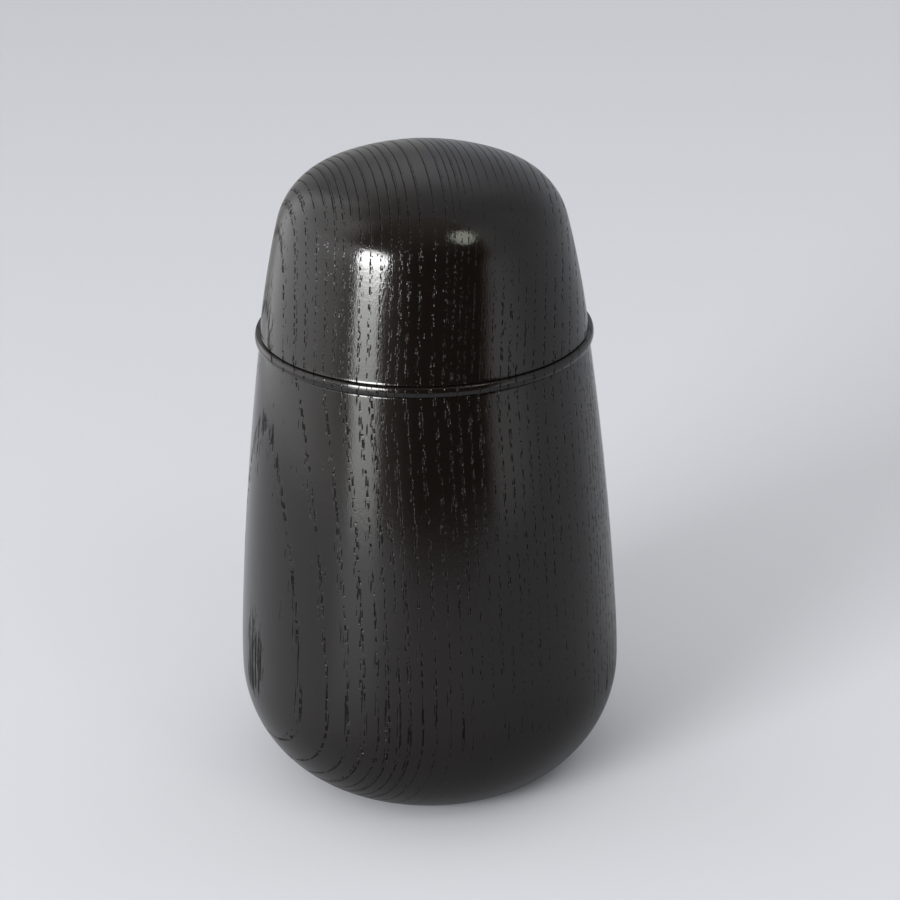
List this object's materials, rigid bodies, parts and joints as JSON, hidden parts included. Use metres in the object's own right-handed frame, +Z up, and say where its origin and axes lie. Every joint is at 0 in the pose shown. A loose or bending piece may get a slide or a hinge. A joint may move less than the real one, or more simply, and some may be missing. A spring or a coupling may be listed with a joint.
{
  "type": "tea caddy",
  "caption": "Turned wooden tea caddy with a rounded base, tapering sides, beaded domed lid, inner lid with a knob, and a black lacquered open-pored finish.",
  "frame": {"origin": "middle of the flat ring that the caddy stands on, in the plane of that ring", "axes": "+Z up along the axis of turning, +X to the right and +Y away from the viewer in the picture"},
  "size_m": [0.08, 0.08, 0.1371],
  "materials": {
    "lacquered_wood": "black lacquer, semi-gloss, over open-pored ring-porous hardwood",
    "rubbed_lacquer_wood": "thin black-brown lacquer rubbed into the wood, satin"
  },
  "bodies": {
    "vessel": {"body": "lacquered_wood", "collar": "rubbed_lacquer_wood"},
    "inner_lid": {"inner_lid": "lacquered_wood", "inner_lid_knob": "lacquered_wood"},
    "lid": {"lid": "lacquered_wood"}
  },
  "joints": [
    {"name": "inner_lid_lift", "type": "slide", "parent": "vessel", "child": "inner_lid", "axis": [0, 0, 1], "range_m": [0, 0.1]},
    {"name": "lid_lift", "type": "slide", "parent": "inner_lid", "child": "lid", "axis": [0, 0, 1], "range_m": [0, 0.12]}
  ]
}
